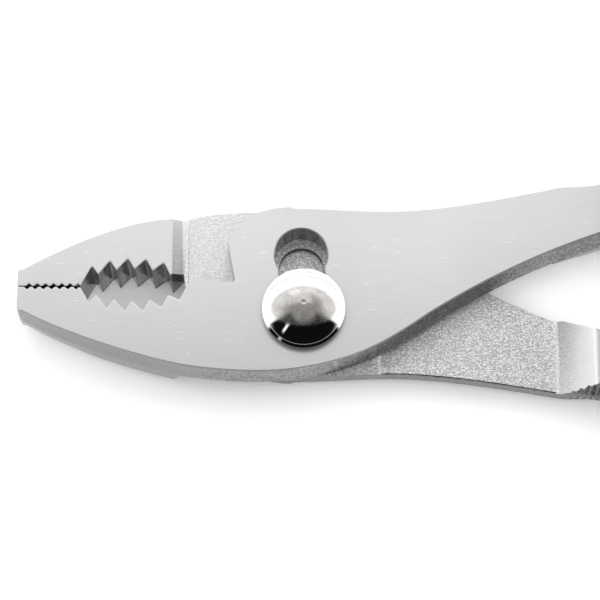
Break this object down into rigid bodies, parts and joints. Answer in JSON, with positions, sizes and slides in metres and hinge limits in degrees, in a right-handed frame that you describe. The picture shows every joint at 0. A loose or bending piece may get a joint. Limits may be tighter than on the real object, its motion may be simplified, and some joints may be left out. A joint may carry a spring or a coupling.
{
  "type": "slip joint pliers",
  "caption": "Slip joint pliers: forged plated halves crossing at a dome-headed pivot bolt that slips along a slot, with serrated jaws, a pipe grip and knurled handles.",
  "frame": {"origin": "pivot axis of the closed pliers, at the end of the pivot bolt's tail that they lie on", "axes": "+X from the jaws to the handles along the line where the jaws meet, +Z along the pivot axis towards the bolt's head, +Y from the lower jaw to the upper jaw"},
  "size_m": [0.2, 0.0535, 0.0187],
  "materials": {
    "forging": "plated, ground satin on the flat faces and as forged on the sides",
    "bolt": "polished plating",
    "nut": "plated"
  },
  "bodies": {
    "front_half": {"front_half": "forging"},
    "pivot": {"pivot_bolt": "bolt", "pivot_nut": "nut"},
    "back_half": {"back_half": "forging"}
  },
  "joints": [
    {"name": "slip", "type": "slide", "parent": "front_half", "child": "pivot", "axis": [-0.0401, 0.9992, 0], "range_m": [0, 0.0104]},
    {"name": "jaw", "type": "hinge", "parent": "pivot", "child": "back_half", "pos_m": [0, 0, 0], "axis": [0, 0, -1], "range_deg": [0, 50]}
  ]
}
